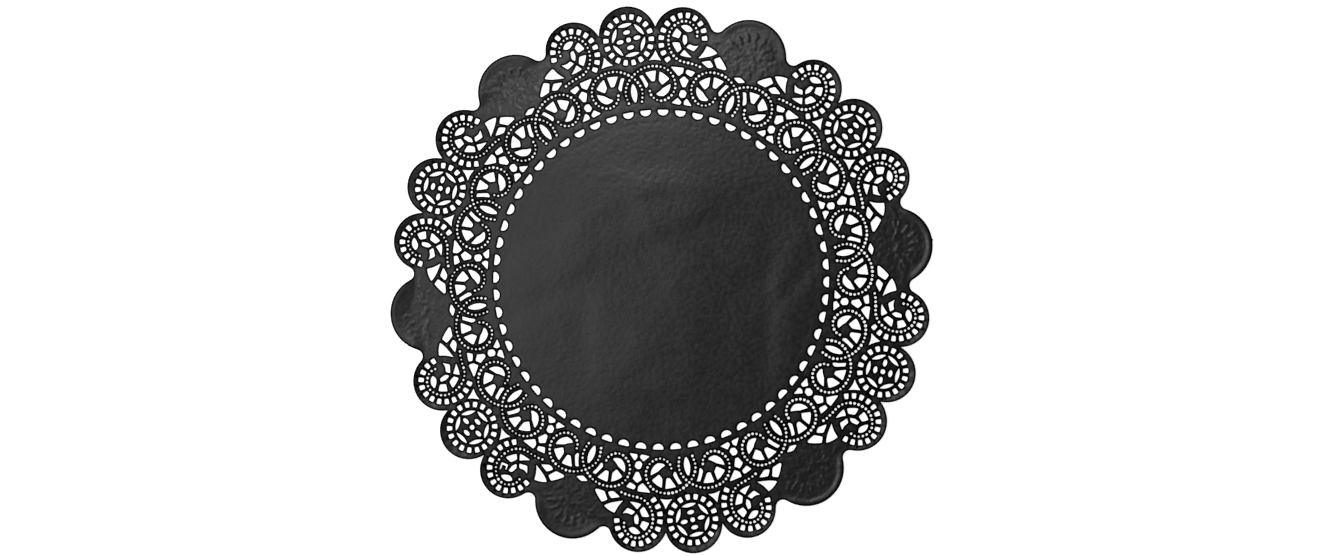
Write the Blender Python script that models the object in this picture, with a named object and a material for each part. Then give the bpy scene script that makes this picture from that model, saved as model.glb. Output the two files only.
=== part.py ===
"""Round lace doily: one flat black sheet with a scalloped edge and a pierced border.

The pattern is charted for the left half of one repeat, in millimetres, with the
middle of the doily at (0, 0) and the axis of a plain scallop along +Y. Mirroring
that half and turning it round the middle gives the whole border.
"""
import bpy
from math import atan2, ceil, cos, hypot, radians, sin, sqrt, tau

NAME = "doily"
MM = 0.001
THICKNESS = 1.0
REPEATS = 6

# Scalloped edge. Columns: turn from the plain scallop's axis in degrees,
# distance of the scallop's centre from the middle, radius.
SCALLOPS = {
    "plain": (-0.1, 131.7, 21.0),
    "left lobe": (16.5, 134.6, 16.4),
    "medallion": (29.6, 136.1, 16.1),
    "right lobe": (42.8, 135.4, 15.9),
}
EDGE_STEP = 4.5
NOTCH_RADIUS = 4.0
NOTCH_STEP = 2.2

# Small turns of the outer groups against the inner rings, in degrees.
FAN_TURN = -0.15
LOBE_TURN = -0.3

# Bowed edges get points between their corners: one from BOW, two from DEEP_BOW.
BOW = 0.4
DEEP_BOW = 1.0

HALF_MOONS = 60

# Holes by their corners. Columns of each corner: x, y, bow, where bow is how far
# the edge to the next corner swells out of the hole.
HALF_MOON = ((-3.2, 94.0, 0.0), (3.2, 94.0, 0.9), (0.0, 90.2, 0.9))
LENS = ((0.5, 109.0, 1.45), (0.5, 99.0, 0.0), (-0.5, 99.0, 1.45), (-0.5, 109.0, 0.0))

SCROLL = {
    "crescent": ((-21.0, 106.8, 0.35), (-16.0, 104.5, -0.35), (-12.1, 102.5, 0.75), (-15.6, 99.8, 1.15)),
    "outer wedge": ((-15.6, 113.9, 0.0), (-14.4, 109.0, 0.0), (-16.2, 106.2, 0.0), (-20.5, 109.2, 0.45)),
    "top wedge": ((-14.0, 114.9, 0.0), (-7.8, 114.6, 0.0), (-10.5, 108.9, 0.0), (-12.6, 108.9, 0.0)),
    "slot": ((-6.1, 113.6, 0.0), (-4.5, 112.5, 0.0), (-6.5, 106.1, 0.0), (-7.8, 106.1, 0.0),
             (-8.5, 108.8, 0.0)),
}

NET = {
    "roof": ((-38.4, 111.2, 0.0), (-31.6, 113.3, 0.0), (-30.8, 110.6, 0.0), (-32.6, 107.8, 0.0),
             (-37.9, 110.3, 0.0)),
    "shield": ((-29.6, 109.2, 0.0), (-26.2, 107.8, 0.0), (-26.3, 103.7, 0.0), (-28.3, 103.0, 0.0),
               (-31.4, 106.5, 0.0)),
    "hexagon": ((-28.6, 101.2, 0.0), (-26.6, 102.1, 0.0), (-24.7, 101.1, 0.0), (-24.7, 98.3, 0.0),
                (-26.6, 97.2, 0.0), (-28.6, 98.1, 0.0)),
}

FAN = {
    "tall": ((-24.2, 129.0, 0.5), (-17.5, 127.7, 0.0), (-21.2, 123.5, 0.0), (-25.8, 120.8, 0.0)),
    "wide": ((-15.5, 126.0, 0.0), (-9.2, 121.2, 0.0), (-9.6, 120.1, 0.0), (-14.6, 119.9, 0.0),
             (-17.8, 123.7, 0.0)),
    "low": ((-23.9, 119.8, 0.0), (-19.6, 122.3, 0.0), (-16.4, 119.8, 0.0), (-19.3, 118.0, 0.0)),
}

LOBE = {
    "leaf": ((-42.2, 133.9, 0.5), (-38.1, 135.8, 0.0), (-34.9, 134.1, 0.4), (-37.9, 132.1, 0.0)),
    "square": ((-43.9, 131.8, 0.0), (-40.6, 130.6, 0.0), (-40.6, 126.7, 0.0), (-44.7, 126.7, 0.0)),
    "bean": ((-34.9, 123.5, 0.0), (-33.9, 126.2, 0.0), (-29.2, 127.3, 0.0), (-30.2, 123.6, 0.0)),
    "kite": ((-43.4, 123.9, 0.0), (-39.7, 125.4, 0.0), (-36.9, 122.4, 0.0), (-38.3, 119.6, 0.0)),
    "triangle": ((-50.2, 116.2, 0.0), (-45.3, 112.4, -0.5), (-51.5, 109.7, 0.0)),
}

PAPER_COLOR = (0.034, 0.034, 0.036, 1.0)
PAPER_ROUGHNESS = 0.7


def turned(points, degrees):
    """Points turned counter-clockwise round the middle."""
    c = cos(radians(degrees))
    s = sin(radians(degrees))
    return [(x * c - y * s, x * s + y * c) for x, y in points]


def mirrored(points):
    """Points of the left half carried over to the right half."""
    return [(-x, y) for x, y in points]


def hole(corners):
    """Outline of a hole, with points added on its bowed edges."""
    points = []
    for (x0, y0, bow), (x1, y1, _) in zip(corners, corners[1:] + corners[:1]):
        between = (abs(bow) >= BOW) + (abs(bow) >= DEEP_BOW)
        length = hypot(x1 - x0, y1 - y0)
        for i in range(between + 1):
            t = i / (between + 1)
            swell = 4.0 * bow * t * (1.0 - t) / length
            points.append((x0 + (x1 - x0) * t - (y1 - y0) * swell,
                           y0 + (y1 - y0) * t + (x1 - x0) * swell))
    return points


def both_sides(outline):
    return [outline, mirrored(outline)]


def all_repeats(outlines, turns):
    """Copies of the outlines at evenly spaced turns."""
    return [turned(outline, 360.0 * i / turns) for outline in outlines for i in range(turns)]


def group(table, turn):
    """Both halves of a table's holes, turned a little as one."""
    return [turned(outline, turn) for corners in table.values() for outline in both_sides(hole(corners))]


def half_moons():
    first = turned(hole(HALF_MOON), 180.0 / HALF_MOONS)
    return all_repeats([first], HALF_MOONS)


def border_holes():
    """All holes of the border, from the ring of half moons outwards."""
    outlines = half_moons()
    outlines += all_repeats([hole(LENS)], 2 * REPEATS)
    outlines += all_repeats(group(SCROLL, 0.0), 2 * REPEATS)
    outlines += all_repeats(group(NET, 0.0), REPEATS)
    outlines += all_repeats(group(FAN, FAN_TURN), REPEATS)
    outlines += all_repeats(group(LOBE, LOBE_TURN), REPEATS)
    return outlines


def outer_meeting(c0, r0, c1, r1):
    """Where two circles cross, on the side away from the middle."""
    dx = c1[0] - c0[0]
    dy = c1[1] - c0[1]
    d = hypot(dx, dy)
    along = (d * d + r0 * r0 - r1 * r1) / (2.0 * d)
    across = sqrt(r0 * r0 - along * along)
    foot = (c0[0] + dx * along / d, c0[1] + dy * along / d)
    crossings = [(foot[0] + side * dy * across / d, foot[1] - side * dx * across / d) for side in (-1, 1)]
    return max(crossings, key=lambda p: hypot(p[0], p[1]))


def arc(centre, radius, start, end, step, direction):
    """Points along an arc from start towards end, without the last one."""
    a0 = atan2(start[1] - centre[1], start[0] - centre[0])
    a1 = atan2(end[1] - centre[1], end[0] - centre[0])
    sweep = (direction * (a1 - a0)) % tau
    count = max(2, ceil(sweep * radius / step))
    angles = [a0 + direction * sweep * i / count for i in range(count)]
    return [(centre[0] + radius * cos(a), centre[1] + radius * sin(a)) for a in angles]


def towards(centre, target, distance):
    d = hypot(target[0] - centre[0], target[1] - centre[1])
    return (centre[0] + (target[0] - centre[0]) * distance / d,
            centre[1] + (target[1] - centre[1]) * distance / d)


def notch(first, second):
    """Last point on one scallop, first on the next and the points between them.

    Beside a plain scallop the notch is rounded, and elsewhere it is sharp.
    """
    (name0, c0, r0), (name1, c1, r1) = first, second
    if "plain" not in (name0, name1):
        corner = outer_meeting(c0, r0, c1, r1)
        return corner, corner, []
    centre = outer_meeting(c0, r0 + NOTCH_RADIUS, c1, r1 + NOTCH_RADIUS)
    leave = towards(c0, centre, r0)
    enter = towards(c1, centre, r1)
    return leave, enter, arc(centre, NOTCH_RADIUS, leave, enter, NOTCH_STEP, -1)


def scallops():
    """Every scallop as its name, centre and radius, counter-clockwise."""
    found = []
    for i in range(REPEATS):
        for name, (turn, distance, radius) in SCALLOPS.items():
            centre = turned([(0.0, distance)], turn + 360.0 * i / REPEATS)[0]
            found.append((name, centre, radius))
    return found


def scalloped_edge():
    ring = scallops()
    notches = [notch(ring[i], ring[(i + 1) % len(ring)]) for i in range(len(ring))]
    points = []
    for i, (_, centre, radius) in enumerate(ring):
        start = notches[i - 1][1]
        leave, _, between = notches[i]
        points += arc(centre, radius, start, leave, EDGE_STEP, 1)
        points += between
    return points


def add_outline(curve, points):
    spline = curve.splines.new("POLY")
    spline.points.add(len(points) - 1)
    for point, (x, y) in zip(spline.points, points):
        point.co = (x * MM, y * MM, 0.0, 1.0)
    spline.use_cyclic_u = True


def black_paper():
    material = bpy.data.materials.new("black_paper")
    material.use_nodes = True
    shader = material.node_tree.nodes["Principled BSDF"]
    shader.inputs["Base Color"].default_value = PAPER_COLOR
    shader.inputs["Roughness"].default_value = PAPER_ROUGHNESS
    shader.inputs["Metallic"].default_value = 0.0
    return material


def make_sheet():
    """The pierced sheet, lying on z = 0."""
    curve = bpy.data.curves.new(NAME, "CURVE")
    curve.dimensions = "2D"
    curve.fill_mode = "BOTH"
    curve.extrude = THICKNESS * MM / 2.0
    add_outline(curve, scalloped_edge())
    for points in border_holes():
        add_outline(curve, points)
    curve.materials.append(black_paper())
    sheet = bpy.data.objects.new(NAME, curve)
    sheet.location.z = THICKNESS * MM / 2.0
    return sheet


def clear_scene():
    for item in list(bpy.data.objects):
        bpy.data.objects.remove(item, do_unlink=True)


def main():
    clear_scene()
    parts = bpy.data.collections.new("lace_doily")
    bpy.context.scene.collection.children.link(parts)
    parts.objects.link(make_sheet())


main()
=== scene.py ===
"""Looks of the black paper lace doily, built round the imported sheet.

One thin embossed sheet, pierced with every hole of the lace, stands for the plain
solid. The lace is charted in millimetres, with the middle of the doily at (0, 0)
and the axis of a plain scallop along +Y: the left half of one repeat, which is
mirrored and turned. Creases are charted as the camera sees them, x right and y up.
"""

from math import atan2, ceil, cos, degrees, hypot, pi, radians, sin, sqrt, tau

import bpy
import numpy as np
from mathutils import Matrix, Vector, noise
from mathutils.geometry import delaunay_2d_cdt
from mathutils.kdtree import KDTree

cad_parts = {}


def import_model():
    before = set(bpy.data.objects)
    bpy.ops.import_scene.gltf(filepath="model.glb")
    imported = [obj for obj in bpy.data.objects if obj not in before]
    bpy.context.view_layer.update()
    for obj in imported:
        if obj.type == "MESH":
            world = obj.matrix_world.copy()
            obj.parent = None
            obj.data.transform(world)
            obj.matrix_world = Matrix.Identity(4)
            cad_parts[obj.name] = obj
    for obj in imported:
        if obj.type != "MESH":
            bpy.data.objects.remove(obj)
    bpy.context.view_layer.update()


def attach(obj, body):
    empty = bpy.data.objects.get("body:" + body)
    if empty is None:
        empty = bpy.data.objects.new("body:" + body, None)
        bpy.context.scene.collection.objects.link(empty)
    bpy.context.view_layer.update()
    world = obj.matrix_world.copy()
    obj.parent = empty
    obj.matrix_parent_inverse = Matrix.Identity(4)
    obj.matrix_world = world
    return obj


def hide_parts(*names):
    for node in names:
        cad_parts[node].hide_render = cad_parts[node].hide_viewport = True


MM = 0.001
NODE = "doily"

# ---------------------------------------------------------------- lace chart
REPEATS = 6
FAN_TURN = -0.15
LOBE_TURN = -0.3

# Scallops of the edge: turn from the plain scallop's axis in degrees, distance of
# the centre from the middle, radius. The notches beside a plain one are rounded.
SCALLOPS = {
    "plain": (-0.1, 131.7, 21.0),
    "left lobe": (16.5, 134.6, 16.4),
    "medallion": (29.6, 136.1, 16.1),
    "right lobe": (42.8, 135.4, 15.9),
}
NOTCH_RADIUS = 4.0

# Snags of the scalloped edge. Columns: repeat, place in it, how far the snag stands out.
# SNAG is about half a snag's width.
SNAGS = (
    (2, (-16.9, 143.1), -0.35),
    (2, (-16.1, 144.6), 0.3),
    (2, (-15.2, 145.9), -0.3),
    (5, (0.0, 152.7), 0.6),
)
SNAG = 0.4

# Holes by their corners: x, y, and how far the edge to the next corner bows out.
HALF_MOONS = 60
HALF_MOON = ((-3.0, 93.85, 0.0), (3.0, 93.85, 0.5), (1.6, 91.0, 0.4), (-1.6, 91.0, 0.5))
LENS = ((0.4, 109.2, 1.35), (0.4, 98.8, 0.0), (-0.4, 98.8, 1.35), (-0.4, 109.2, 0.0))
DIAMOND = ((-3.5, 118.4, 0.1), (0.0, 119.8, 0.1), (3.5, 118.4, 0.1), (0.0, 116.6, 0.1))

SCROLL = {
    "crescent": ((-20.9, 106.4, -0.1), (-16.2, 104.6, 0.0), (-14.6, 103.2, 0.0), (-12.0, 102.0, 0.3),
                 (-13.9, 100.5, 0.1), (-16.2, 100.1, 1.2)),
    "outer wedge": ((-15.7, 114.0, 0.0), (-14.6, 109.1, 0.1), (-16.2, 106.3, 0.0), (-20.7, 109.0, 0.4)),
    "top wedge": ((-13.9, 114.8, 0.1), (-7.6, 114.5, 0.0), (-10.5, 109.1, 0.1), (-12.5, 109.1, 0.0)),
    "slot": ((-6.1, 113.4, 0.0), (-4.0, 113.0, -0.4), (-6.6, 106.1, 0.0), (-7.6, 106.1, 0.1),
             (-8.5, 108.0, 0.0)),
}
NET = {
    "roof": ((-38.4, 111.5, -0.1), (-31.5, 113.4, 0.1), (-30.8, 110.6, 0.0), (-32.4, 107.9, 0.0),
             (-37.8, 110.7, 0.0)),
    "small roof": ((-29.5, 113.1, 0.1), (-24.5, 113.4, 0.0), (-25.6, 110.1, 0.0), (-29.4, 110.8, 0.1)),
    "shield": ((-29.6, 109.2, 0.0), (-26.2, 107.8, -0.1), (-26.5, 103.7, 0.0), (-28.2, 103.1, 0.0),
               (-31.4, 106.5, -0.1)),
    "hexagon": ((-28.5, 101.2, 0.0), (-26.6, 102.0, 0.0), (-24.7, 101.1, 0.0), (-24.7, 98.4, 0.0),
                (-26.6, 97.2, 0.0), (-28.5, 98.3, 0.0)),
    "left foot": ((-28.6, 96.8, 0.1), (-25.6, 95.3, 0.1), (-25.9, 93.5, 0.0), (-30.8, 92.8, -0.1)),
    "right foot": ((-23.6, 98.3, 0.0), (-19.3, 95.3, 0.0), (-23.9, 94.3, 0.0), (-24.6, 96.2, 0.0)),
}
FAN = {
    "tall": ((-24.4, 129.1, 0.45), (-17.2, 127.6, 0.25), (-21.5, 123.8, 0.0), (-26.5, 120.8, -0.6)),
    "wide": ((-15.4, 126.2, 0.2), (-9.4, 121.5, 0.3), (-10.0, 120.4, 0.0), (-14.6, 120.0, 0.0),
             (-17.9, 123.8, 0.0)),
    "low": ((-23.9, 119.8, 0.1), (-19.5, 122.3, 0.1), (-16.5, 119.9, 0.25), (-19.2, 118.2, 0.1)),
}
LOBE = {
    "leaf": ((-42.3, 133.9, 0.6), (-38.1, 135.7, 0.3), (-35.1, 134.1, 0.4), (-37.9, 132.2, 0.3)),
    "square": ((-44.0, 132.0, 0.1), (-40.5, 130.6, 0.0), (-40.7, 127.2, 0.0), (-44.8, 126.9, 0.2)),
    "slip": ((-39.3, 129.9, 0.1), (-37.3, 130.2, 0.15), (-35.6, 126.9, 0.1), (-36.4, 124.7, 0.0),
             (-38.5, 126.9, -0.1)),
    "bean": ((-35.1, 124.0, 0.1), (-33.9, 126.6, -0.85), (-28.7, 128.0, 0.0), (-30.3, 123.6, 0.0)),
    "kite": ((-43.5, 123.7, 0.1), (-39.7, 125.2, 0.1), (-37.1, 122.3, 0.0), (-38.4, 119.6, 0.2)),
    "dart": ((-35.6, 122.6, -0.2), (-29.9, 120.1, 0.3), (-36.8, 118.9, 0.0)),
    "triangle": ((-50.5, 116.7, -0.4), (-44.9, 112.1, -0.7), (-52.0, 109.3, -0.5)),
}

# A scrap of paper still hangs in one square: the slit round it, and its repeat.
SCRAP_SLIT = ((-44.2, 131.4, 0.0), (-43.4, 131.1, 0.0), (-43.6, 128.1, 0.0), (-41.3, 128.2, 0.0),
              (-41.2, 130.3, 0.0), (-40.5, 130.3, 0.0), (-40.5, 127.0, 0.0), (-44.6, 127.0, 0.0))
SCRAP_REPEAT = 3

# Strands of small round holes: their path's knots and the number of holes.
SCROLL_STRAND = ((-8.9, 104.0), (-9.4, 101.5), (-11.9, 98.7), (-15.7, 97.7), (-20.2, 99.6), (-22.9, 103.2),
                 (-23.5, 107.0), (-22.3, 111.5), (-19.3, 115.0), (-15.0, 116.9), (-9.9, 117.4),
                 (-4.8, 116.1), (0.0, 113.0), (3.3, 108.9), (4.7, 104.3), (3.7, 98.8))
SCROLL_BEADS = 32
LOBE_STRAND = ((-31.7, 132.1), (-32.4, 134.2), (-34.0, 136.0), (-38.2, 137.7), (-42.6, 136.6),
               (-45.6, 133.0), (-46.8, 128.8), (-45.8, 124.1), (-43.5, 120.2), (-39.8, 117.2),
               (-35.4, 116.0), (-30.9, 116.6), (-26.3, 117.1), (-23.9, 117.0))
LOBE_BEADS = 24
BEAD_RADIUS = 0.6
BEAD_SIDES = 8

# The small round holes are cut more fully on one side: its direction, by how much, unevenness.
BEAD_LEAN = (15.0, 0.13)
BEAD_UNEVEN = (2.5, 0.4)

# Ring of slots round a lobe: the path's knots. A slot is longer across the path and wider
# at its outer end, and a lower squareness makes it squarer.
LOBE_RING = ((-27.4, 132.5), (-29.6, 136.3), (-32.7, 139.1), (-36.7, 140.8), (-41.1, 140.7),
             (-44.9, 138.9), (-47.9, 135.9), (-49.8, 132.1), (-50.4, 128.0), (-49.9, 123.8),
             (-48.3, 119.9), (-45.7, 116.7), (-42.2, 114.2))
RING_SLOTS = 13
SLOT_LENGTH = 2.95
SLOT_WIDTH = 2.35
SLOT_SQUARENESS = 0.35
SLOT_TAPER = 0.12
SLOT_SIDES = 12

# Medallion, round its own centre.
MEDALLION_TURN = 29.53
MEDALLION_DISTANCE = 133.65
MEDALLION_SPIN = 7.5
MEDALLION_SLOTS = 18
SLOT_RING = 12.7
SLOT_RING_SPIN = 15.0
PETALS = 6
PETAL_RING = 8.3
PETAL_CHORD = 8.7
PETAL_BOW = 1.08
OVALS = 4
OVAL_LENGTH = 3.9
OVAL_WIDTH = 2.2
OVAL_RINGS = (4.3, 4.9)
OVAL_SIDES = 12
EYE_RADIUS = 1.25
EYE_SQUARENESS = 0.8

# ---------------------------------------------------------------- outlines
# The paper reaches this much past its charted edges, out of the scallops and into the
# holes that are charted by their corners.
SPREAD = 0.07

# Step of the fine points along an outline, how many of them to each side round off a
# corner, and the turn or the length after which the finished outline has its next point.
FINE = 0.11
CORNER_REACH = 5
TURN_STEP = radians(21)
LENGTH_STEP = 4.0

# Points from one knot of a path to the next. A slot's direction is taken from SLOT_AHEAD
# of the SLOT_STEPS between it and the next slot.
KNOT_STEPS = 20
SLOT_STEPS = 10
SLOT_AHEAD = 2


def turned(points, angle):
    """Points turned counter-clockwise round the middle."""
    c = cos(radians(angle))
    s = sin(radians(angle))
    return np.asarray(points) @ np.array(((c, s), (-s, c)))


def mirrored(points):
    return np.asarray(points) * (-1.0, 1.0)


def both_sides(outline, turn=0.0):
    return [turned(outline, turn), turned(mirrored(outline), turn)]


def all_repeats(outlines, turns):
    return [turned(outline, 360.0 * i / turns) for outline in outlines for i in range(turns)]


def lengths(points):
    """Distance along the points from the first one to each."""
    steps = np.hypot(*np.diff(points, axis=0).T)
    return np.concatenate(((0.0,), np.cumsum(steps)))


def left_of(along):
    """Unit vectors to the left of the given ones, which is out of a hole."""
    return np.stack((-along[..., 1], along[..., 0]), axis=-1) / np.hypot(*along.T)[..., None]


def drawn_in(corners):
    """The corners and bows of a hole whose edges have all moved inwards by SPREAD."""
    place, bow = np.split(np.array(corners), (2,), axis=1)
    along = np.roll(place, -1, axis=0) - place
    out = left_of(along)
    leaving = left_of(along + 4.0 * bow * out)
    arriving = np.roll(left_of(along - 4.0 * bow * out), 1, axis=0)
    facing = (leaving * arriving).sum(axis=1, keepdims=True)
    moved = place - SPREAD * (leaving + arriving) / (1.0 + facing)
    crest = place + along / 2.0 + (bow - SPREAD) * out
    chord_middle = (moved + np.roll(moved, -1, axis=0)) / 2.0
    moved_bow = ((crest - chord_middle) * out).sum(axis=1, keepdims=True)
    return np.hstack((moved, moved_bow))


def bowed(corners):
    """Fine points round a hole whose corners are joined by shallow parabolas."""
    stretches = []
    for (x0, y0, bow), (x1, y1, _) in zip(corners, np.roll(corners, -1, axis=0)):
        along = np.array((x1 - x0, y1 - y0))
        length = hypot(*along)
        out = left_of(along)
        t = np.linspace(0.0, 1.0, max(2, round(length / FINE)), endpoint=False)[:, None]
        stretches.append((x0, y0) + along * t + out * (4.0 * bow * t * (1.0 - t)))
    return np.concatenate(stretches)


def softened(points):
    """Rounds the corners: each fine point becomes the mean of its neighbours."""
    shifts = range(-CORNER_REACH, CORNER_REACH + 1)
    return sum(np.roll(points, k, axis=0) for k in shifts) / len(shifts)


def thinned(points):
    """Keeps points close together where the outline turns and far apart where it is straight."""
    steps = np.roll(points, -1, axis=0) - points
    heading = np.arctan2(steps[:, 1], steps[:, 0])
    turn = np.abs((np.roll(heading, -1) - heading + pi) % tau - pi)
    weight = turn / TURN_STEP + np.hypot(*steps.T) / LENGTH_STEP
    reached = np.concatenate(((0.0,), np.cumsum(weight)))
    wanted = np.linspace(0.0, reached[-1], ceil(reached[-1]), endpoint=False)
    closed = np.concatenate((points, points[:1]))
    return np.stack([np.interp(wanted, reached, closed[:, i]) for i in (0, 1)], axis=1)


def hole(corners):
    return thinned(softened(bowed(drawn_in(corners))))


def group(table, turn=0.0):
    """Both halves of a table's holes, turned a little as one."""
    return [outline for corners in table.values() for outline in both_sides(hole(corners), turn)]


def rounded(centre, length, width, direction, sides, power=1.0, taper=0.0):
    """An ellipse along the direction. A low power squares it, and a taper widens its far end."""
    t = (np.arange(sides) + 0.5) * tau / sides
    x, y = (np.sign(wave) * np.abs(wave) ** power for wave in (np.cos(t), np.sin(t)))
    return centre + turned(np.stack((x * length, y * (1.0 + taper * x) * width), axis=1) / 2.0, direction)


def slot(centre, outward):
    """A slot of a ring, pointing outward."""
    return rounded(centre, SLOT_LENGTH, SLOT_WIDTH, outward, SLOT_SIDES, SLOT_SQUARENESS, SLOT_TAPER)


def smooth_path(knots):
    """Fine points of a Catmull-Rom curve through the knots."""
    k = np.array(knots[:1] + knots + knots[-1:])
    t = np.linspace(0.0, 1.0, KNOT_STEPS, endpoint=False)[:, None]
    stretches = [
        0.5 * (2.0 * b + (c - a) * t + (2.0 * a - 5.0 * b + 4.0 * c - d) * t ** 2
               + (3.0 * b - a - 3.0 * c + d) * t ** 3)
        for a, b, c, d in zip(k, k[1:], k[2:], k[3:])
    ]
    return np.concatenate(stretches + [k[-1:]])


def spaced(path, count):
    """Evenly spaced points along a path."""
    reached = lengths(path)
    wanted = np.linspace(0.0, reached[-1], count)
    return np.stack([np.interp(wanted, reached, path[:, i]) for i in (0, 1)], axis=1)


def bead(centre):
    """A small round hole, its polygon as large as the circle."""
    side = tau / BEAD_SIDES
    direction, lean = BEAD_LEAN
    full = 1.0 + lean * cos(atan2(*centre[::-1]) - radians(direction)) + waves([centre], *BEAD_UNEVEN)[0]
    width = 2.0 * BEAD_RADIUS * full * sqrt(side / sin(side))
    return rounded(centre, width, width, 0.0, BEAD_SIDES)


def beads():
    """All small round holes. Two strands share the one where they cross."""
    scroll = spaced(smooth_path(SCROLL_STRAND), SCROLL_BEADS)
    lobe = spaced(smooth_path(LOBE_STRAND), LOBE_BEADS)
    strands = all_repeats(both_sides(scroll), 2 * REPEATS) + all_repeats(both_sides(lobe, LOBE_TURN), REPEATS)
    centres = []
    for centre in np.concatenate(strands):
        if all(abs(centre[0] - x) + abs(centre[1] - y) > BEAD_RADIUS for x, y in centres):
            centres.append(centre)
    return [bead(centre) for centre in centres]


def ring_slots():
    """Slots round one lobe, each lying across the ring's path."""
    path = smooth_path(LOBE_RING)
    fine = spaced(path, SLOT_STEPS * (RING_SLOTS - 1) + 1)
    slots = []
    for i, centre in enumerate(spaced(path, RING_SLOTS)):
        before = fine[max(0, SLOT_STEPS * i - SLOT_AHEAD)]
        after = fine[min(len(fine) - 1, SLOT_STEPS * i + SLOT_AHEAD)]
        slots.append(slot(centre, degrees(atan2(after[1] - before[1], after[0] - before[0])) - 90.0))
    return slots


def ring_place(radius, angle):
    """A point by its distance and direction from the centre of a flower or scallop."""
    return np.array((radius * cos(radians(angle)), radius * sin(radians(angle))))


def medallion():
    """The round flower between two lobes: slots, petals, ovals and an eye."""
    outlines = []
    for i in range(MEDALLION_SLOTS):
        direction = SLOT_RING_SPIN + 360.0 * i / MEDALLION_SLOTS
        outlines.append(slot(ring_place(SLOT_RING, direction), direction))
    half = PETAL_CHORD / 2.0
    petal = hole(((-half, PETAL_RING, PETAL_BOW), (half, PETAL_RING, PETAL_BOW)))
    outlines += [turned(petal, MEDALLION_SPIN + 360.0 * i / PETALS) for i in range(PETALS)]
    for i in range(OVALS):
        place = ring_place(OVAL_RINGS[i % 2], MEDALLION_SPIN + 360.0 * (i + 1) / OVALS)
        outlines.append(rounded(place, OVAL_LENGTH, OVAL_WIDTH, MEDALLION_SPIN, OVAL_SIDES))
    outlines.append(rounded(np.zeros(2), 2.0 * EYE_RADIUS, 2.0 * EYE_RADIUS, 0.0, OVAL_SIDES, EYE_SQUARENESS))
    return [turned(outline + (0.0, MEDALLION_DISTANCE), MEDALLION_TURN) for outline in outlines]


def lobe_holes():
    """The large holes of the lobes, with the scrap in one of them."""
    holes = all_repeats(group(LOBE, LOBE_TURN), REPEATS)
    torn = REPEATS * (2 * list(LOBE).index("square") + 1) + SCRAP_REPEAT
    slit = mirrored(hole(SCRAP_SLIT))
    holes[torn] = turned(slit, LOBE_TURN + 360.0 * SCRAP_REPEAT / REPEATS)
    return holes


def lace_holes():
    """Every hole of the lace, from the ring of half moons outwards."""
    holes = all_repeats([turned(hole(HALF_MOON), 180.0 / HALF_MOONS)], HALF_MOONS)
    holes += all_repeats([hole(LENS)] + group(SCROLL), 2 * REPEATS)
    holes += all_repeats([hole(DIAMOND)] + group(NET), REPEATS)
    holes += all_repeats(group(FAN, FAN_TURN), REPEATS) + lobe_holes()
    holes += all_repeats([side for one in ring_slots() for side in both_sides(one, LOBE_TURN)], REPEATS)
    holes += all_repeats(medallion(), REPEATS)
    return holes + beads()


def outer_meeting(c0, r0, c1, r1):
    """Where two circles cross, on the side away from the middle."""
    between = c1 - c0
    distance = hypot(*between)
    along = (distance ** 2 + r0 ** 2 - r1 ** 2) / (2.0 * distance)
    across = sqrt(r0 ** 2 - along ** 2)
    side = np.array((between[1], -between[0])) / distance
    foot = c0 + between * along / distance
    return max((foot + side * across, foot - side * across), key=lambda p: hypot(*p))


def arc(centre, radius, start, end, direction):
    """Fine points along an arc from start towards end, without the last one."""
    a0 = atan2(*(start - centre)[::-1])
    a1 = atan2(*(end - centre)[::-1])
    sweep = (direction * (a1 - a0)) % tau
    a = a0 + direction * np.linspace(0.0, sweep, max(2, ceil(sweep * radius / FINE)), endpoint=False)
    return centre + radius * np.stack((np.cos(a), np.sin(a)), axis=1)


def notch(first, second):
    """Last point on one scallop, first on the next and the fine points between them."""
    (name0, c0, r0), (name1, c1, r1) = first, second
    if "plain" not in (name0, name1):
        corner = outer_meeting(c0, r0, c1, r1)
        return corner, corner, np.empty((0, 2))
    radius = NOTCH_RADIUS - SPREAD
    centre = outer_meeting(c0, r0 + radius, c1, r1 + radius)
    leave = c0 + (centre - c0) * r0 / (r0 + radius)
    enter = c1 + (centre - c1) * r1 / (r1 + radius)
    return leave, enter, arc(centre, radius, leave, enter, -1)


def snagged(outline):
    """The outline with its few snags, each a small bump outwards or inwards."""
    for repeat, place, out in SNAGS:
        away = np.hypot(*(outline - turned(place, 360.0 * repeat / REPEATS)).T)
        outline = outline * (1.0 + out * bell(away, SNAG) / np.hypot(*outline.T))[:, None]
    return outline


def scalloped_edge():
    ring = [
        (name, turned((0.0, distance), turn + 360.0 * i / REPEATS), radius + SPREAD)
        for i in range(REPEATS) for name, (turn, distance, radius) in SCALLOPS.items()
    ]
    notches = [notch(ring[i], ring[(i + 1) % len(ring)]) for i in range(len(ring))]
    stretches = []
    for i, (_, centre, radius) in enumerate(ring):
        leave, _, between = notches[i]
        stretches += [arc(centre, radius, notches[i - 1][1], leave, 1), between]
    return thinned(snagged(softened(np.concatenate(stretches))))


# ---------------------------------------------------------------- points of the sheet
EDGE_SAMPLE = 0.3

# Row of points inside the edges: how far in, one point for how many samples of the edge,
# and its least distances from the edges and between its points. The grids keep GRID_CLEAR
# from the edges, and leave out a point nearer to another than CROWDED of their step.
INSET = 1.05
INSET_STRIDE = 2
INSET_CLEAR = 0.95
INSET_GAP = 0.7
GRID_CLEAR = 1.2
CROWDED = 0.8

# Grids of points: reach of the middle one, steps in the middle, in the border and on the
# plain scallops, and on the underside of the plain scallops and of the border.
FIELD_RADIUS = 83.0
FIELD_STEP = 2.8
LACE_STEP = 1.4
PLAIN_STEP = 0.7
UNDER_PLAIN_STEP = 1.2
UNDER_STEP = 2.2

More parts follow.
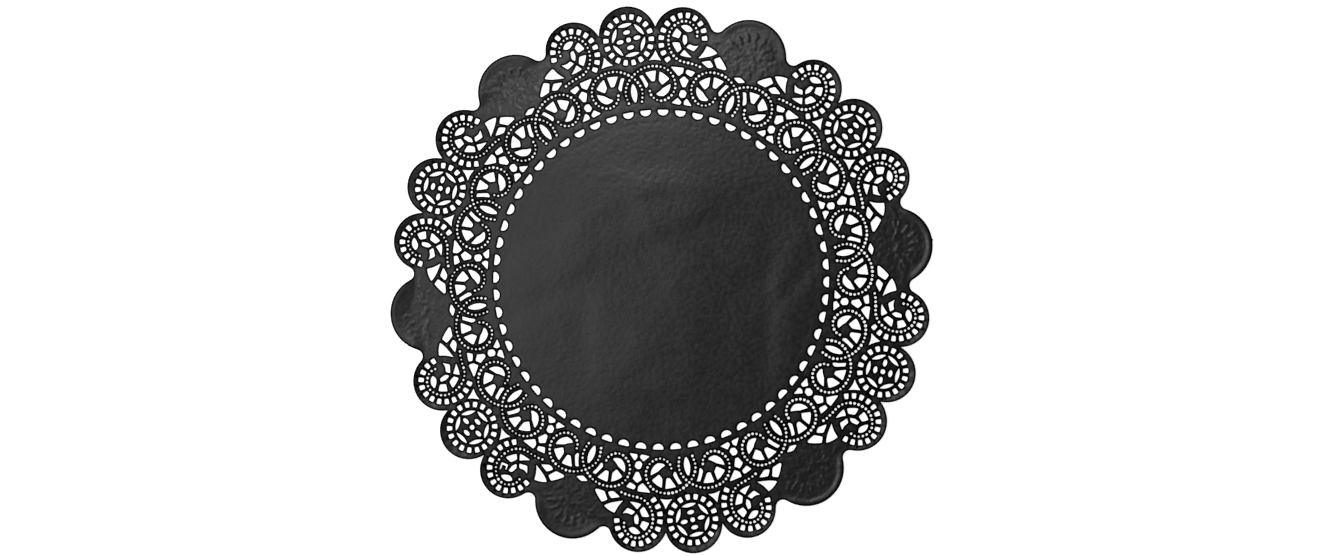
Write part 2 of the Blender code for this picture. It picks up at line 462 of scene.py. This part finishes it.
# Groove round the middle, and the rows of points along it.
GROOVE_RADIUS = 86.6
GROOVE_ROWS = (-2.2, -1.1, -0.4, 0.4, 1.2, 2.2)
GROOVE_STEP = 2.0

# Unpierced neck of a plain scallop, and the cells that nearby points are looked up in.
NECK_HALF_WIDTH = 14.0
NECK_LOW = 118.0
CELL = 1.0


def signed_area(outline):
    following = np.roll(outline, -1, axis=0)
    return (outline[:, 0] * following[:, 1] - following[:, 0] * outline[:, 1]).sum() / 2.0


def tree_of(points):
    tree = KDTree(len(points))
    for i, (x, y) in enumerate(points):
        tree.insert((x, y, 0.0), i)
    tree.balance()
    return tree


class Edges:
    """The cut edges: how far a point is from them, and whether it lies on the paper."""

    def __init__(self, scallops, holes):
        self.points = []
        self.inward = []
        self.add(scallops, 1.0)
        for outline in holes:
            self.add(outline, -1.0)
        self.tree = tree_of(self.points)

    def add(self, outline, paper_side):
        """Samples an outline whose paper lies inside, for 1, or outside, for -1."""
        side = paper_side if signed_area(outline) > 0.0 else -paper_side
        for start, step in zip(outline, np.roll(outline, -1, axis=0) - outline):
            length = hypot(*step)
            count = max(1, round(length / EDGE_SAMPLE))
            for k in range(count):
                self.points.append(start + step * k / count)
                self.inward.append(np.array((-step[1], step[0])) * side / length)

    def distance(self, x, y):
        return self.tree.find((x, y, 0.0))[2]

    def on_paper(self, x, y, clear=0.0):
        """Whether a point is on the paper, at least clear away from every edge."""
        nearest, i, distance = self.tree.find((x, y, 0.0))
        inward = self.inward[i]
        return distance >= clear and (x - nearest.x) * inward[0] + (y - nearest.y) * inward[1] > 0.0


class Filling:
    """Points inside the sheet, kept apart from its edges and from each other."""

    def __init__(self, edges):
        self.edges = edges
        self.cells = {}
        self.points = []

    def add(self, points, clear, gap):
        for x, y in points:
            if self.edges.on_paper(x, y, clear) and not self.crowded(x, y, gap):
                self.cells.setdefault((x // CELL, y // CELL), []).append((x, y))
                self.points.append((x, y))

    def crowded(self, x, y, gap):
        reach = ceil(gap / CELL)
        steps = range(-reach, reach + 1)
        cells = (self.cells.get((x // CELL + i, y // CELL + j), ()) for i in steps for j in steps)
        return any(hypot(u - x, v - y) < gap for cell in cells for u, v in cell)


def hex_grid(reach, step):
    """Points of a triangular grid over a square round the middle."""
    across = np.arange(-reach, reach, step)
    rows = [
        np.stack((across + (i % 2) * step / 2.0, np.full(len(across), y)), axis=1)
        for i, y in enumerate(np.arange(-reach, reach, step * sqrt(3.0) / 2.0))
    ]
    return np.concatenate(rows)


def circle(radius, step):
    a = np.arange(0.0, tau, step / radius)
    return radius * np.stack((np.cos(a), np.sin(a)), axis=1)


def plain_frames(points):
    """The points as each plain scallop has them, its axis along +Y."""
    turn = SCALLOPS["plain"][0]
    return [turned(points, -turn - 360.0 * i / REPEATS) for i in range(REPEATS)]


def in_plain_scallop(points):
    """Which points lie in the unpierced part of a plain scallop."""
    _, distance, radius = SCALLOPS["plain"]
    inside = np.zeros(len(points), bool)
    for x, y in (local.T for local in plain_frames(points)):
        inside |= np.hypot(x, y - distance) < radius
        inside |= (np.abs(x) < NECK_HALF_WIDTH) & (y > NECK_LOW) & (y < distance)
    return inside


def grid_points(filling, step, kept):
    """Adds the points of a grid over the whole sheet that are to be kept."""
    _, distance, radius = SCALLOPS["plain"]
    grid = hex_grid(distance + radius, step)
    filling.add(grid[kept(grid)], GRID_CLEAR, CROWDED * step)


def in_border(points):
    return np.hypot(*points.T) > GROOVE_RADIUS


def in_field(points):
    return np.hypot(*points.T) < FIELD_RADIUS


def top_points(edges):
    """Points of the top: a row along the edges, rows along the groove, then grids."""
    filling = Filling(edges)
    inset = np.array(edges.points) + INSET * np.array(edges.inward)
    filling.add(inset[::INSET_STRIDE], INSET_CLEAR, INSET_GAP)
    for row in GROOVE_ROWS:
        filling.add(circle(GROOVE_RADIUS + row, GROOVE_STEP), GRID_CLEAR, INSET_GAP)
    grid_points(filling, PLAIN_STEP, in_plain_scallop)
    grid_points(filling, LACE_STEP, in_border)
    grid_points(filling, FIELD_STEP, in_field)
    return np.array(filling.points)


def underside_points(edges):
    """Points of the underside, which is not embossed."""
    filling = Filling(edges)
    grid_points(filling, UNDER_PLAIN_STEP, in_plain_scallop)
    grid_points(filling, UNDER_STEP, in_border)
    grid_points(filling, FIELD_STEP, in_field)
    return np.array(filling.points)


# ---------------------------------------------------------------- relief of the sheet
THICKNESS = 0.2

# The paper is pressed down along its cut edges: how far in, how deep.
PRESS_REACH = 1.4
PRESS_DEPTH = 0.12

# Groove round the middle.
GROOVE_DEPTH = 0.05
GROOVE_WIDTH = 1.0

# Curled rim of a plain scallop and the hollow inside it: where each starts and ends from
# the centre, height. Both fade out between SCALLOP_SIDE and NECK_TOP above the centre.
RIM = (16.6, 19.4, 0.75)
HOLLOW = (7.0, 19.0, 1.0)
NECK_TOP = 4.0
SCALLOP_SIDE = 11.0

# Curled rim of the pierced scallops: how far inside the edge it starts and ends, height;
# and how far from the middle it sets in. It takes over from the relief of a plain scallop
# within BESIDE_PLAIN.
LACE_RIM = (3.6, 0.5, 1.2)
LACE_RIM_FROM = (138.0, 146.0)
BESIDE_PLAIN = 3.0

# Sun of ribs on a plain scallop: directions of the ribs, their ends from the centre
# of the scallop, width, height.
RIB_ANGLES = (19.0, 42.0, 66.5, 90.0, 113.5, 138.0, 161.0)
RIB_ENDS = (9.3, 12.9)
RIB = (0.8, 0.38)
LOW_RIB_ANGLES = (-138.0, -114.0, -90.0, -66.0, -42.0)
LOW_RIB_ENDS = (5.6, 9.0)
LOW_RIB = (0.9, 0.06)

# Garland across a plain scallop, left half: knots, width, height. Its path keeps one fine
# point in GARLAND_STRIDE.
GARLAND = ((-22.5, 131.4), (-19.0, 133.6), (-16.0, 134.6), (-12.0, 132.9), (-8.0, 134.2), (-5.0, 132.3),
           (-2.4, 132.4), (0.0, 133.6))
GARLAND_RIDGE = (0.85, 0.16)
GARLAND_STRIDE = 5

# Unevenness of the embossing, and the pebbled ground between its ribs: size, amount.
# The pebbles end PEBBLED from the centre of the scallop and fade over PEBBLES_FADE.
RELIEF_UNEVEN = (4.0, 0.9)
PEBBLES = (1.8, 0.19)
PEBBLED = 17.5
PEBBLES_FADE = 2.0

# Plain scallops counter-clockwise from +Y: strength of the ribs, the garland, the pebbled
# ground, the rim and the hollow.
EMBOSSED = (
    (0.9, 0.7, 0.9, 0.4, 0.0),
    (1.2, 1.0, 1.4, 0.45, 1.2),
    (0.4, 1.6, 1.0, 0.5, 1.5),
    (0.9, 1.0, 1.0, 0.6, 0.8),
    (0.7, 1.0, 1.2, 1.0, 0.2),
    (1.2, 1.6, 1.1, 1.0, 0.3),
)

# Turn that carries what the camera sees, x right and y up, into the part's frame.
VIEW_TURN = 21.82

# Soft creases as the camera sees them: knots, climb from the left of the path to its
# right (a fall is negative), width of the slope.
CREASES = {
    "long fold, left": (((-68, -5), (-50, 2), (-35, 8), (-21, 18), (-8, 22)), -0.55, 9.0),
    "long fold, right": (((-5, 24), (6, 26), (15, 30), (30, 39), (45, 46)), -0.4, 9.0),
    "heart of the long fold": (((4, 25), (14, 29), (22, 33)), -0.2, 6.0),
    "broad fall": (((24, -60), (26, -20), (26, 10), (32, 44)), -1.1, 36.0),
    "short fold": (((-34, 33), (-26, 37), (-12, 44), (0, 48), (10, 50)), -0.35, 8.0),
    "left streak": (((-84, 10), (-70, 17), (-60, 21), (-52, 28)), 0.4, 8.0),
    "left swell": (((-84, -27), (-75, -22), (-62, -16)), 0.5, 7.0),
    "standing streak": (((-38, -57), (-38, -38), (-38, -14)), 0.4, 8.0),
    "slanting streak": (((-22, -36), (-6, -15), (12, 8)), 0.18, 9.0),
    "top streak": (((-8, 58), (4, 61), (14, 66)), 0.15, 6.0),
    "right valley": (((48, -64), (50, -30), (46, -8), (45, 12), (46, 34)), -0.25, 9.0),
    "ridge, lit side": (((63, -50), (63, -30), (62, -12), (63, -2)), 0.42, 5.5),
    "ridge, upper end": (((65, 4), (69, 13), (74, 24)), 0.2, 5.5),
    "ridge, far side": (((75, -46), (78, -30), (81, -16)), -0.3, 8.0),
    "fork, lit side": (((67, -17), (74, -8), (83, 2)), 0.3, 4.5),
    "fork, far side": (((70, -4), (75, 5), (81, 16)), -0.3, 5.5),
    "dip by the ridge": (((56, 8), (57, 15), (56, 22)), -0.25, 6.0),
    "low dip": (((-16, -52), (-10, -48), (-4, -44)), -0.25, 7.0),
    "lowest dip": (((-9, -82), (-8, -74)), -0.2, 7.0),
    "dip on the lower right": (((24, -76), (29, -71)), -0.2, 7.0),
    "rise on the upper left scallop": (((-94, 93), (-83, 101), (-72, 109)), 1.2, 13.0),
    "fall on the left scallop": (((-134, -38), (-141, -31), (-145, -20), (-144, -8)), -1.2, 9.0),
    "ridge on the left scallop": (((-140, -20), (-139, -14), (-136, -6)), 0.3, 3.0),
    "lower ridge on the left scallop": (((-133, -35), (-132, -28)), 0.25, 2.5),
    "valley on the left scallop": (((-130, -27), (-131, -22), (-134, -16)), -0.3, 3.5),
    "rise on the upper right scallop": (((47, 106), (48, 122), (49, 138)), 0.5, 16.0),
}

# How far a crease fades past its ends and levels out beside it, and the points per knot.
CREASE_FADE = 9.0
CREASE_RECOVERY = 45.0
CREASE_STEPS = 5

# Unevenness of the creases and of the whole sheet: size, amount.
CREASE_UNEVEN = (22.0, 0.5)
SWELLS = ((42.0, 0.12), (8.0, 0.06))


def smooth_step(x):
    x = np.clip(x, 0.0, 1.0)
    return x * x * (3.0 - 2.0 * x)


def bell(x, width):
    return np.exp(-(x / width) ** 2)


def from_segment(points, start, end):
    """Distance of each point from a straight stroke."""
    along = np.subtract(end, start)
    t = np.clip((points - start) @ along / (along @ along), 0.0, 1.0)
    return np.hypot(*(points - start - t[:, None] * along).T)


def from_path(points, path):
    """Distance of each point from a path, signed + on its right, and beyond which end it lies."""
    nearest = np.full(len(points), np.inf)
    signed = np.zeros(len(points))
    beyond = np.zeros(len(points))
    last = len(path) - 2
    for i, (start, end) in enumerate(zip(path, path[1:])):
        along = end - start
        length = hypot(*along)
        offset = points - start
        t = offset @ along / length
        held = np.clip(t, 0.0, length)
        distance = np.hypot(*(offset - held[:, None] * along / length).T)
        closer = distance < nearest
        nearest[closer] = distance[closer]
        across = (offset[:, 0] * along[1] - offset[:, 1] * along[0]) / length
        signed[closer] = across[closer]
        past = np.where(i == 0, -t, 0.0).clip(0.0) + np.where(i == last, t - length, 0.0).clip(0.0)
        beyond[closer] = past[closer]
    return signed, beyond


def creases(points):
    """Height of the soft creases: a slope across each path that levels out again away from it."""
    seen = turned(points, -VIEW_TURN)
    height = np.zeros(len(points))
    for knots, climb, width in CREASES.values():
        path = spaced(smooth_path(knots), CREASE_STEPS * len(knots))
        across, beyond = from_path(seen, path)
        slope = np.tanh(across / (width / 2.0)) * bell(across, CREASE_RECOVERY) * bell(beyond, CREASE_FADE)
        height += climb / 2.0 * slope
    return height * (1.0 + waves(points, *CREASE_UNEVEN))


def waves(points, size, amount):
    """Smooth random waves, about as large as size."""
    return amount * np.array([noise.noise((x / size, y / size, size)) for x, y in points])


def swells(points):
    """Slow unevenness of the whole sheet."""
    return sum(waves(points, *swell) for swell in SWELLS)


def rib_height(points, angles, ends, width, height):
    _, distance, _ = SCALLOPS["plain"]
    total = np.zeros(len(points))
    for angle in angles:
        start, end = (ring_place(radius, angle) + (0.0, distance) for radius in ends)
        total = np.maximum(total, height * bell(from_segment(points, start, end), width))
    return total


def garland_height(points):
    width, height = GARLAND_RIDGE
    path = smooth_path(GARLAND)[::GARLAND_STRIDE]
    left = np.where(points[:, :1] > 0.0, mirrored(points), points)
    across, beyond = from_path(left, path)
    return height * bell(across, width) * bell(beyond, width)


def rim_height(points, start, end, height):
    """Height of a rim that rises outwards, on the outer side of a plain scallop only."""
    _, distance, _ = SCALLOPS["plain"]
    above = smooth_step((points[:, 1] - distance - NECK_TOP) / (SCALLOP_SIDE - NECK_TOP))
    out = np.hypot(points[:, 0], points[:, 1] - distance)
    return height * smooth_step((out - start) / (end - start)) * above


def inside_scallops(points, names):
    """How deep each point lies inside the named scallops, at its deepest."""
    depths = [
        radius - np.hypot(*(turned(points, -turn - 360.0 * i / REPEATS) - (0.0, distance)).T)
        for turn, distance, radius in map(SCALLOPS.get, names) for i in range(REPEATS)
    ]
    return np.max(depths, axis=0)


def lace_rim(points):
    """Height of the rim that rises along the edge of the pierced scallops."""
    start, end, height = LACE_RIM
    near, far = LACE_RIM_FROM
    curl = smooth_step((start - inside_scallops(points, SCALLOPS)) / (start - end))
    beside_plain = smooth_step(-inside_scallops(points, ("plain",)) / BESIDE_PLAIN)
    return height * curl * beside_plain * smooth_step((np.hypot(*points.T) - near) / (far - near))


def scallop_relief(points, shape):
    """Adds up a shape over the six plain scallops: it is given points and the scallop's strengths."""
    height = np.zeros(len(points))
    _, distance, radius = SCALLOPS["plain"]
    for local, strengths in zip(plain_frames(points), EMBOSSED):
        outside = np.hypot(local[:, 0], local[:, 1] - distance) - radius
        near = np.flatnonzero(outside < BESIDE_PLAIN)
        height[near] += shape(local[near], *strengths) * smooth_step(1.0 - outside[near] / BESIDE_PLAIN)
    return height


def curled(points, _ribs, _garland, _ground, curl, hollow):
    return curl * rim_height(points, *RIM) + hollow * rim_height(points, *HOLLOW)


def embossed(points, ribs, garland, ground, _curl, _hollow):
    sun = np.maximum(rib_height(points, RIB_ANGLES, RIB_ENDS, *RIB),
                     rib_height(points, LOW_RIB_ANGLES, LOW_RIB_ENDS, *LOW_RIB))
    relief = np.maximum(ribs * sun, garland * garland_height(points))
    _, distance, _ = SCALLOPS["plain"]
    inside = smooth_step((PEBBLED - np.hypot(points[:, 0], points[:, 1] - distance)) / PEBBLES_FADE)
    return relief * (1.0 + waves(points, *RELIEF_UNEVEN)) + ground * waves(points, *PEBBLES) * inside


def underside(points, edge_distance):
    """Height of the underside, not yet set on the floor."""
    pressed = PRESS_DEPTH * smooth_step(edge_distance / PRESS_REACH)
    return creases(points) + swells(points) + lace_rim(points) + scallop_relief(points, curled) + pressed


def top(points, edge_distance):
    groove = GROOVE_DEPTH * bell(np.hypot(*points.T) - GROOVE_RADIUS, GROOVE_WIDTH)
    return THICKNESS + underside(points, edge_distance) + scallop_relief(points, embossed) - groove


# ---------------------------------------------------------------- the sheet
EDGE_ATTRIBUTE = "edge_distance"

# Least angle of a sharp edge.
SHARP = radians(60)

# How the triangles are made: over the whole convex hull, and with no points joined.
WHOLE_HULL = 0
JOINED_WITHIN = 0.0


def paper_triangles(outlines, filling, edges):
    """Triangles over the paper between the outlines, with the points they join."""
    loops = []
    first = 0
    for outline in outlines:
        ids = np.arange(first, first + len(outline))
        loops.append(np.stack((ids, np.roll(ids, -1)), axis=1))
        first += len(outline)
    points = np.concatenate(outlines + [filling])
    cuts = np.concatenate(loops).tolist()
    places = [Vector(point) for point in points]
    corners, _, triangles, *_ = delaunay_2d_cdt(places, cuts, [], WHOLE_HULL, JOINED_WITHIN, False)
    if len(corners) != len(points):
        raise ValueError("some outlines cross or touch")
    triangles = np.array(triangles)
    centres = points[triangles].mean(axis=1)
    between_edges = (triangles < first).all(axis=1)
    keep = [not tight or edges.on_paper(x, y) for (x, y), tight in zip(centres, between_edges)]
    return points, triangles[keep], np.array(cuts)


def face(outlines, filling, edges, height):
    """One face of the sheet: its corners, their distances from the edge, triangles and cut edges."""
    points, triangles, cuts = paper_triangles(outlines, filling, edges)
    distance = np.array([edges.distance(x, y) for x, y in points])
    distance[cuts] = 0.0
    corner = points[triangles]
    upward = np.cross(corner[:, 1] - corner[:, 0], corner[:, 2] - corner[:, 0]) > 0.0
    triangles = np.where(upward[:, None], triangles, triangles[:, ::-1])
    return np.column_stack((points, height(points, distance))), distance, triangles, cuts


def lace_sheet():
    """The pierced and embossed paper: a top, an underside and the walls of every cut."""
    outlines = [scalloped_edge()] + lace_holes()
    edges = Edges(outlines[0], outlines[1:])
    upper, upper_distance, upper_triangles, cuts = face(outlines, top_points(edges), edges, top)
    lower, lower_distance, lower_triangles, _ = face(outlines, underside_points(edges), edges, underside)
    corners = np.concatenate((upper, lower))
    corners[:, 2] -= lower[:, 2].min()
    count = len(upper)
    faces = upper_triangles.tolist() + (lower_triangles[:, ::-1] + count).tolist()
    mesh = bpy.data.meshes.new("lace_sheet")
    mesh.from_pydata(corners * MM, [], faces + wall_faces(upper_triangles, cuts, count))
    distance = np.concatenate((upper_distance, lower_distance))
    mesh.attributes.new(EDGE_ATTRIBUTE, "FLOAT", "POINT").data.foreach_set("value", distance)
    mesh.shade_smooth()
    mesh.set_sharp_from_angle(angle=SHARP)
    sheet = bpy.data.objects.new("lace_sheet", mesh)
    bpy.context.scene.collection.objects.link(sheet)
    return sheet


def wall_faces(triangles, cuts, count):
    """Walls down from the cut edges, each turned away from its triangle of the top."""
    directed = {
        side for triangle in triangles.tolist() for side in zip(triangle, triangle[1:] + triangle[:1])
    }
    walls = []
    for a, b in cuts.tolist():
        if (a, b) not in directed:
            a, b = b, a
        walls.append((b, a, a + count, b + count))
    return walls


# ---------------------------------------------------------------- materials
# Tone and roughness of the paper, each from the low to the high spots of its grain.
PAPER_TONE = (0.0095, 0.0135)
PAPER_ROUGHNESS = (0.33, 0.41)
PAPER_SPECULAR = 0.5

# Painted shade along the cut edges, a dark band: where it starts to fade and where it ends,
# in millimetres from the edge. Its Metallic value keeps the pale studio from showing in it.
EDGE_SHADE = (0.85, 1.2)
EDGE_SHADE_TONE = 0.002
EDGE_SHADE_ROUGHNESS = 0.35
EDGE_SHADE_METAL = 0.96

# Grain and fibre of the paper: size and height of the bump, in metres, and detail of the
# noise. The noise keeps to about NOISE_RANGE.
GRAIN = (0.0024, 0.00014, 0.6)
FIBRE = (0.0006, 0.000012, 1.0)
NOISE_RANGE = (0.3, 0.7)

FLOOR_TONE = (0.86, 0.86, 0.86, 1.0)
FLOOR_ROUGHNESS = 0.9
FLOOR_GLOW = 0.8
WHITE = (1.0, 1.0, 1.0, 1.0)


class Shader:
    """A material's node tree, with its Principled shader."""

    def __init__(self, name):
        self.material = bpy.data.materials.new(name)
        self.material.use_nodes = True
        self.tree = self.material.node_tree
        self.surface = self.tree.nodes["Principled BSDF"]

    def add(self, kind, **settings):
        """A new node with the given settings."""
        made = self.tree.nodes.new("ShaderNode" + kind)
        for name, value in settings.items():
            setattr(made, name, value)
        return made

    def link(self, output, socket):
        self.tree.links.new(output, socket)

    def noise(self, size, detail):
        """Noise over about NOISE_RANGE, with its grains as large as size."""
        place = self.add("TexCoord")
        texture = self.add("TexNoise")
        texture.inputs["Scale"].default_value = 1.0 / size
        texture.inputs["Detail"].default_value = detail
        self.link(place.outputs["Object"], texture.inputs["Vector"])
        return texture.outputs["Fac"]

    def ranged(self, value, start, end, low, high, smooth=False):
        """The value carried from start..end to low..high."""
        made = self.add("MapRange", interpolation_type="SMOOTHSTEP" if smooth else "LINEAR")
        self.link(value, made.inputs["Value"])
        for name, number in (("From Min", start), ("From Max", end), ("To Min", low), ("To Max", high)):
            made.inputs[name].default_value = number
        return made.outputs["Result"]

    def mixed(self, factor, first, second):
        """A number between two others, each a constant or a socket."""
        made = self.add("Mix")
        self.link(factor, made.inputs["Factor"])
        for name, value in (("A", first), ("B", second)):
            if isinstance(value, bpy.types.NodeSocket):
                self.link(value, made.inputs[name])
            else:
                made.inputs[name].default_value = value
        return made.outputs["Result"]

    def bump(self, height, depth, normal=None):
        made = self.add("Bump")
        made.inputs["Distance"].default_value = depth
        self.link(height, made.inputs["Height"])
        if normal is not None:
            self.link(normal, made.inputs["Normal"])
        return made.outputs["Normal"]


def black_paper():
    """Dyed paper, finely mottled, with painted shade in a dark band along its cut edges."""
    shader = Shader("black_paper")
    edge = shader.add("Attribute", attribute_name=EDGE_ATTRIBUTE)
    # Painted shade: near the cut edges the paper's tone, roughness and metal turn to the dark edge band.
    past_edge_shade = shader.ranged(edge.outputs["Fac"], *EDGE_SHADE, 0.0, 1.0, smooth=True)
    grain_size, grain_height, grain_detail = GRAIN
    fibre_size, fibre_height, fibre_detail = FIBRE
    grain = shader.noise(grain_size, grain_detail)
    fibre = shader.noise(fibre_size, fibre_detail)
    tone = shader.ranged(grain, *NOISE_RANGE, *PAPER_TONE)
    shader.link(shader.mixed(past_edge_shade, EDGE_SHADE_TONE, tone), shader.surface.inputs["Base Color"])
    dull = shader.ranged(grain, *NOISE_RANGE, *PAPER_ROUGHNESS)
    shader.link(shader.mixed(past_edge_shade, EDGE_SHADE_ROUGHNESS, dull), shader.surface.inputs["Roughness"])
    shader.link(shader.ranged(past_edge_shade, 0.0, 1.0, EDGE_SHADE_METAL, 0.0), shader.surface.inputs["Metallic"])
    shader.surface.inputs["Specular IOR Level"].default_value = PAPER_SPECULAR
    coarse = shader.bump(grain, grain_height)
    shader.link(shader.bump(fibre, fibre_height, coarse), shader.surface.inputs["Normal"])
    return shader.material


def pale_floor():
    shader = Shader("pale_floor")
    shader.surface.inputs["Base Color"].default_value = FLOOR_TONE
    shader.surface.inputs["Roughness"].default_value = FLOOR_ROUGHNESS
    shader.surface.inputs["Specular IOR Level"].default_value = 0.0
    shader.surface.inputs["Emission Color"].default_value = WHITE
    shader.surface.inputs["Emission Strength"].default_value = FLOOR_GLOW
    return shader.material


# ---------------------------------------------------------------- studio
# Floor, in metres: its side, and how far it lies under the sheet.
FLOOR_SIZE = 12.0
FLOOR_DEPTH = 0.0001

# Camera: far off with a long lens, a little over the doily's right side. Its side and the
# picture's up are directions on the floor and its tilt is from straight above, in degrees.
# Aim, distance, lens and sensor are in millimetres, and its reach is in metres.
CAMERA_SIDE = 20.04
CAMERA_TILT = 9.0
CAMERA_UP = 90.0 + VIEW_TURN
CAMERA_AIM = (0.54, 1.19)
CAMERA_DISTANCE = 4400.0
CAMERA_LENS = 216.5
CAMERA_SENSOR = 36.0
CAMERA_REACH = 100.0

# Soft lights near the doily: place in millimetres as the camera sees it, side in metres,
# watts.
LAMPS = {
    "left": ((-150.0, -30.0, 350.0), 0.15, 0.1),
    "top": ((-84.0, 194.0, 350.0), 0.15, 0.36),
    "side": ((-430.0, 50.0, 460.0), 0.14, 0.6),
}

# Studio walls: brightness at each height above the horizon, from 0 to straight up, 1.
WALLS = ((0.0, 0.6), (0.3, 0.6), (0.55, 0.5), (0.8, 0.25), (0.93, 0.1), (1.0, 0.05))


def in_view(x, y, z):
    """A point that is charted as the camera sees it, x right, y up, in the part's frame."""
    across = turned((x, y), VIEW_TURN)
    return Vector((across[0], across[1], z)) * MM


def level_vector(angle):
    return Vector((cos(radians(angle)), sin(radians(angle)), 0.0))


def lay_floor():
    bpy.ops.mesh.primitive_plane_add(size=FLOOR_SIZE, location=(0.0, 0.0, -FLOOR_DEPTH))
    floor = bpy.context.object
    floor.name = "floor"
    floor.data.materials.append(pale_floor())
    return floor


def set_camera():
    data = bpy.data.cameras.new("camera")
    data.lens = CAMERA_LENS
    data.sensor_width = CAMERA_SENSOR
    data.sensor_fit = "HORIZONTAL"
    data.clip_end = CAMERA_REACH
    camera = bpy.data.objects.new("camera", data)
    bpy.context.scene.collection.objects.link(camera)
    tilt = radians(CAMERA_TILT)
    back = level_vector(CAMERA_SIDE) * sin(tilt) + Vector((0.0, 0.0, cos(tilt)))
    up = level_vector(CAMERA_UP)
    up = (up - back * up.dot(back)).normalized()
    right = up.cross(back)
    turn = Matrix((right, up, back)).transposed().to_4x4()
    aim = Vector((*CAMERA_AIM, 0.0)) * MM
    camera.matrix_world = Matrix.Translation(aim + back * CAMERA_DISTANCE * MM) @ turn
    bpy.context.scene.camera = camera


def lamps():
    for name, (place, size, power) in LAMPS.items():
        data = bpy.data.lights.new(name, "AREA")
        data.shape = "SQUARE"
        data.size = size
        data.energy = power
        light = bpy.data.objects.new(name, data)
        light.location = in_view(*place)
        light.rotation_euler = light.location.to_track_quat("Z", "Y").to_euler()
        bpy.context.scene.collection.objects.link(light)


def studio_walls():
    """Soft light all round, brightest from half way up and dark overhead."""
    world = bpy.data.worlds.new("studio")
    world.use_nodes = True
    nodes = world.node_tree.nodes
    links = world.node_tree.links
    place = nodes.new("ShaderNodeTexCoord")
    split = nodes.new("ShaderNodeSeparateXYZ")
    ramp = nodes.new("ShaderNodeValToRGB")
    links.new(place.outputs["Generated"], split.inputs["Vector"])
    links.new(split.outputs["Z"], ramp.inputs["Fac"])
    links.new(ramp.outputs["Color"], nodes["Background"].inputs["Color"])
    ramp.color_ramp.interpolation = "EASE"
    stops = ramp.color_ramp.elements
    for height, _ in WALLS[1:-1]:
        stops.new(height)
    for stop, (height, light) in zip(stops, WALLS):
        stop.position = height
        stop.color = (light, light, light, 1.0)
    bpy.context.scene.world = world


def main():
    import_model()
    floor = lay_floor()
    sheet = lace_sheet()
    sheet.data.materials.append(black_paper())
    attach(sheet, "root")
    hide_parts(NODE)
    set_camera()
    lamps()
    studio_walls()
    bpy.context.scene.view_settings.view_transform = "Standard"


main()
